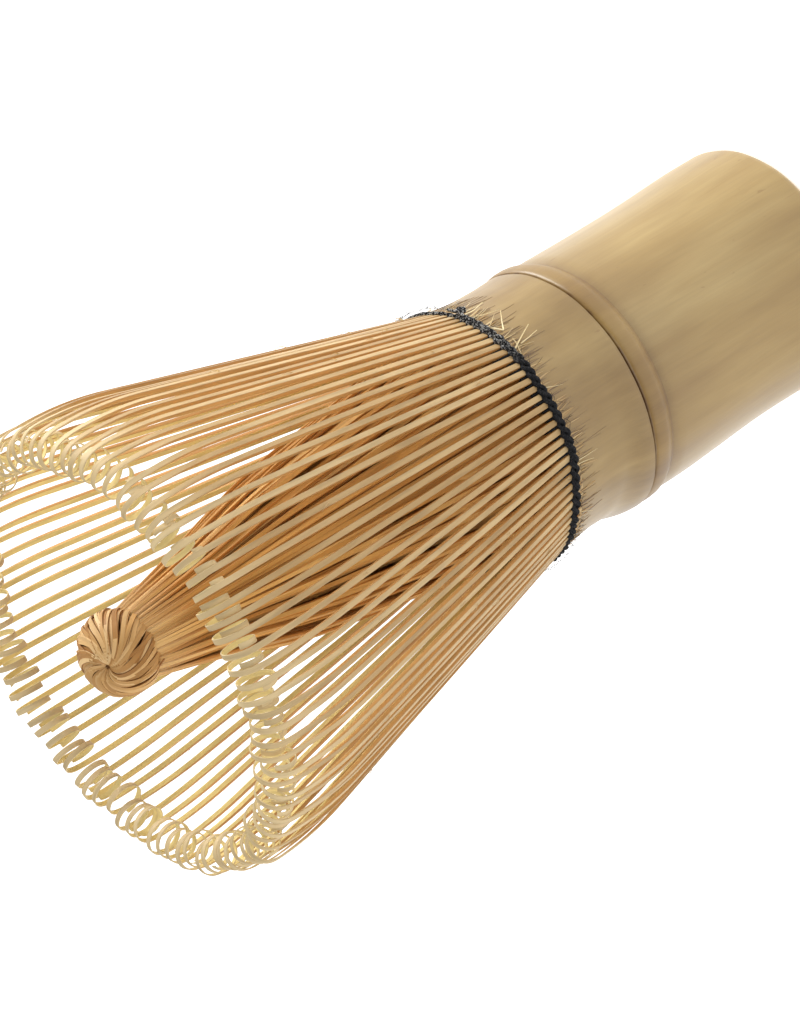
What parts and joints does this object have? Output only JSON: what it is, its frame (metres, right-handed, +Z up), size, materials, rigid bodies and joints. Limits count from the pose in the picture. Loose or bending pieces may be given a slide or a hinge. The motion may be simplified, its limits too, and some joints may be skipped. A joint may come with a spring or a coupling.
{
  "type": "tea whisk",
  "caption": "Bamboo tea whisk: a cane handle whose wall is split into curled outer splints and a knotted inner bundle, bound with black thread.",
  "frame": {"origin": "middle of the flat foot of the handle, on the surface that the whisk stands on", "axes": "+Z runs up the whisk's own axis from the foot to the brim and the knot; X and Y are across it, and +X passes through the middle of the first group of outer splints"},
  "size_m": [0.0644, 0.0644, 0.12],
  "materials": {
    "bamboo_skin": "satin olive-beige cane skin with fine lengthwise grain and faint blotches",
    "bamboo_joint": "cane skin at the joint, a little darker, with a thin dark groove",
    "bamboo_cut": "bare cut bamboo wall, matt and pale",
    "outer_splint": "pale straw shaved bamboo, satin outside and matt inside",
    "inner_splint": "orange-brown shaved bamboo, matt",
    "knot": "tight bun of bent bamboo tips",
    "thread": "black twisted cotton thread with a few grey flecks"
  },
  "bodies": {
    "culm": {"culm_handle": "bamboo_skin", "culm_joint_ring": "bamboo_joint", "culm_diaphragm": "bamboo_cut", "culm_neck": "bamboo_skin", "binding_thread": "thread", "thread_end_knot": "thread", "inner_splint_roots": "inner_splint"},
    "outer_group_01": {"outer_splints_01": "outer_splint"},
    "outer_group_02": {"outer_splints_02": "outer_splint"},
    "outer_group_03": {"outer_splints_03": "outer_splint"},
    "outer_group_04": {"outer_splints_04": "outer_splint"},
    "outer_group_05": {"outer_splints_05": "outer_splint"},
    "outer_group_06": {"outer_splints_06": "outer_splint"},
    "outer_group_07": {"outer_splints_07": "outer_splint"},
    "outer_group_08": {"outer_splints_08": "outer_splint"},
    "outer_group_09": {"outer_splints_09": "outer_splint"},
    "outer_group_10": {"outer_splints_10": "outer_splint"},
    "outer_group_11": {"outer_splints_11": "outer_splint"},
    "outer_group_12": {"outer_splints_12": "outer_splint"},
    "outer_group_13": {"outer_splints_13": "outer_splint"},
    "outer_group_14": {"outer_splints_14": "outer_splint"},
    "outer_group_15": {"outer_splints_15": "outer_splint"},
    "outer_group_16": {"outer_splints_16": "outer_splint"},
    "outer_group_17": {"outer_splints_17": "outer_splint"},
    "outer_group_18": {"outer_splints_18": "outer_splint"},
    "outer_group_19": {"outer_splints_19": "outer_splint"},
    "outer_group_20": {"outer_splints_20": "outer_splint"},
    "outer_group_21": {"outer_splints_21": "outer_splint"},
    "outer_group_22": {"outer_splints_22": "outer_splint"},
    "outer_group_23": {"outer_splints_23": "outer_splint"},
    "outer_group_24": {"outer_splints_24": "outer_splint"},
    "outer_group_25": {"outer_splints_25": "outer_splint"},
    "outer_group_26": {"outer_splints_26": "outer_splint"},
    "outer_group_27": {"outer_splints_27": "outer_splint"},
    "outer_group_28": {"outer_splints_28": "outer_splint"},
    "outer_group_29": {"outer_splints_29": "outer_splint"},
    "outer_group_30": {"outer_splints_30": "outer_splint"},
    "inner_waist": {"inner_splints_waist": "inner_splint"},
    "inner_top": {"inner_splints_top": "inner_splint", "tip_knot": "knot"}
  },
  "joints": [
    {"name": "outer_flex_01", "type": "hinge", "parent": "culm", "child": "outer_group_01", "pos_m": [0.0179, 0, 0.0532], "axis": [0, 1, 0], "range_deg": [-3, 3], "stiffness_Nm_per_rad": 0.0075},
    {"name": "outer_flex_02", "type": "hinge", "parent": "culm", "child": "outer_group_02", "pos_m": [0.01751, 0.00372, 0.0532], "axis": [-0.2079, 0.9781, 0], "range_deg": [-3, 3], "stiffness_Nm_per_rad": 0.0075},
    {"name": "outer_flex_03", "type": "hinge", "parent": "culm", "child": "outer_group_03", "pos_m": [0.01635, 0.00728, 0.0532], "axis": [-0.4067, 0.9135, 0], "range_deg": [-3, 3], "stiffness_Nm_per_rad": 0.0075},
    {"name": "outer_flex_04", "type": "hinge", "parent": "culm", "child": "outer_group_04", "pos_m": [0.01448, 0.01052, 0.0532], "axis": [-0.5878, 0.809, 0], "range_deg": [-3, 3], "stiffness_Nm_per_rad": 0.0075},
    {"name": "outer_flex_05", "type": "hinge", "parent": "culm", "child": "outer_group_05", "pos_m": [0.01198, 0.0133, 0.0532], "axis": [-0.7431, 0.6691, 0], "range_deg": [-3, 3], "stiffness_Nm_per_rad": 0.0075},
    {"name": "outer_flex_06", "type": "hinge", "parent": "culm", "child": "outer_group_06", "pos_m": [0.00895, 0.0155, 0.0532], "axis": [-0.866, 0.5, 0], "range_deg": [-3, 3], "stiffness_Nm_per_rad": 0.0075},
    {"name": "outer_flex_07", "type": "hinge", "parent": "culm", "child": "outer_group_07", "pos_m": [0.00553, 0.01702, 0.0532], "axis": [-0.9511, 0.309, 0], "range_deg": [-3, 3], "stiffness_Nm_per_rad": 0.0075},
    {"name": "outer_flex_08", "type": "hinge", "parent": "culm", "child": "outer_group_08", "pos_m": [0.00187, 0.0178, 0.0532], "axis": [-0.9945, 0.1045, 0], "range_deg": [-3, 3], "stiffness_Nm_per_rad": 0.0075},
    {"name": "outer_flex_09", "type": "hinge", "parent": "culm", "child": "outer_group_09", "pos_m": [-0.00187, 0.0178, 0.0532], "axis": [-0.9945, -0.1045, 0], "range_deg": [-3, 3], "stiffness_Nm_per_rad": 0.0075},
    {"name": "outer_flex_10", "type": "hinge", "parent": "culm", "child": "outer_group_10", "pos_m": [-0.00553, 0.01702, 0.0532], "axis": [-0.9511, -0.309, 0], "range_deg": [-3, 3], "stiffness_Nm_per_rad": 0.0075},
    {"name": "outer_flex_11", "type": "hinge", "parent": "culm", "child": "outer_group_11", "pos_m": [-0.00895, 0.0155, 0.0532], "axis": [-0.866, -0.5, 0], "range_deg": [-3, 3], "stiffness_Nm_per_rad": 0.0075},
    {"name": "outer_flex_12", "type": "hinge", "parent": "culm", "child": "outer_group_12", "pos_m": [-0.01198, 0.0133, 0.0532], "axis": [-0.7431, -0.6691, 0], "range_deg": [-3, 3], "stiffness_Nm_per_rad": 0.0075},
    {"name": "outer_flex_13", "type": "hinge", "parent": "culm", "child": "outer_group_13", "pos_m": [-0.01448, 0.01052, 0.0532], "axis": [-0.5878, -0.809, 0], "range_deg": [-3, 3], "stiffness_Nm_per_rad": 0.0075},
    {"name": "outer_flex_14", "type": "hinge", "parent": "culm", "child": "outer_group_14", "pos_m": [-0.01635, 0.00728, 0.0532], "axis": [-0.4067, -0.9135, 0], "range_deg": [-3, 3], "stiffness_Nm_per_rad": 0.0075},
    {"name": "outer_flex_15", "type": "hinge", "parent": "culm", "child": "outer_group_15", "pos_m": [-0.01751, 0.00372, 0.0532], "axis": [-0.2079, -0.9781, 0], "range_deg": [-3, 3], "stiffness_Nm_per_rad": 0.0075},
    {"name": "outer_flex_16", "type": "hinge", "parent": "culm", "child": "outer_group_16", "pos_m": [-0.0179, 0, 0.0532], "axis": [0, -1, 0], "range_deg": [-3, 3], "stiffness_Nm_per_rad": 0.0075},
    {"name": "outer_flex_17", "type": "hinge", "parent": "culm", "child": "outer_group_17", "pos_m": [-0.01751, -0.00372, 0.0532], "axis": [0.2079, -0.9781, 0], "range_deg": [-3, 3], "stiffness_Nm_per_rad": 0.0075},
    {"name": "outer_flex_18", "type": "hinge", "parent": "culm", "child": "outer_group_18", "pos_m": [-0.01635, -0.00728, 0.0532], "axis": [0.4067, -0.9135, 0], "range_deg": [-3, 3], "stiffness_Nm_per_rad": 0.0075},
    {"name": "outer_flex_19", "type": "hinge", "parent": "culm", "child": "outer_group_19", "pos_m": [-0.01448, -0.01052, 0.0532], "axis": [0.5878, -0.809, 0], "range_deg": [-3, 3], "stiffness_Nm_per_rad": 0.0075},
    {"name": "outer_flex_20", "type": "hinge", "parent": "culm", "child": "outer_group_20", "pos_m": [-0.01198, -0.0133, 0.0532], "axis": [0.7431, -0.6691, 0], "range_deg": [-3, 3], "stiffness_Nm_per_rad": 0.0075},
    {"name": "outer_flex_21", "type": "hinge", "parent": "culm", "child": "outer_group_21", "pos_m": [-0.00895, -0.0155, 0.0532], "axis": [0.866, -0.5, 0], "range_deg": [-3, 3], "stiffness_Nm_per_rad": 0.0075},
    {"name": "outer_flex_22", "type": "hinge", "parent": "culm", "child": "outer_group_22", "pos_m": [-0.00553, -0.01702, 0.0532], "axis": [0.9511, -0.309, 0], "range_deg": [-3, 3], "stiffness_Nm_per_rad": 0.0075},
    {"name": "outer_flex_23", "type": "hinge", "parent": "culm", "child": "outer_group_23", "pos_m": [-0.00187, -0.0178, 0.0532], "axis": [0.9945, -0.1045, 0], "range_deg": [-3, 3], "stiffness_Nm_per_rad": 0.0075},
    {"name": "outer_flex_24", "type": "hinge", "parent": "culm", "child": "outer_group_24", "pos_m": [0.00187, -0.0178, 0.0532], "axis": [0.9945, 0.1045, 0], "range_deg": [-3, 3], "stiffness_Nm_per_rad": 0.0075},
    {"name": "outer_flex_25", "type": "hinge", "parent": "culm", "child": "outer_group_25", "pos_m": [0.00553, -0.01702, 0.0532], "axis": [0.9511, 0.309, 0], "range_deg": [-3, 3], "stiffness_Nm_per_rad": 0.0075},
    {"name": "outer_flex_26", "type": "hinge", "parent": "culm", "child": "outer_group_26", "pos_m": [0.00895, -0.0155, 0.0532], "axis": [0.866, 0.5, 0], "range_deg": [-3, 3], "stiffness_Nm_per_rad": 0.0075},
    {"name": "outer_flex_27", "type": "hinge", "parent": "culm", "child": "outer_group_27", "pos_m": [0.01198, -0.0133, 0.0532], "axis": [0.7431, 0.6691, 0], "range_deg": [-3, 3], "stiffness_Nm_per_rad": 0.0075},
    {"name": "outer_flex_28", "type": "hinge", "parent": "culm", "child": "outer_group_28", "pos_m": [0.01448, -0.01052, 0.0532], "axis": [0.5878, 0.809, 0], "range_deg": [-3, 3], "stiffness_Nm_per_rad": 0.0075},
    {"name": "outer_flex_29", "type": "hinge", "parent": "culm", "child": "outer_group_29", "pos_m": [0.01635, -0.00728, 0.0532], "axis": [0.4067, 0.9135, 0], "range_deg": [-3, 3], "stiffness_Nm_per_rad": 0.0075},
    {"name": "outer_flex_30", "type": "hinge", "parent": "culm", "child": "outer_group_30", "pos_m": [0.01751, -0.00372, 0.0532], "axis": [0.2079, 0.9781, 0], "range_deg": [-3, 3], "stiffness_Nm_per_rad": 0.0075},
    {"name": "inner_sway_low", "type": "hinge", "parent": "culm", "child": "inner_waist", "pos_m": [0, 0, 0.057], "axis": [1, 0, 0], "range_deg": [-3, 3], "stiffness_Nm_per_rad": 0.3},
    {"name": "inner_sway_high", "type": "hinge", "parent": "inner_waist", "child": "inner_top", "pos_m": [0, 0, 0.07], "axis": [0, 1, 0], "range_deg": [-4, 4], "stiffness_Nm_per_rad": 0.3}
  ]
}
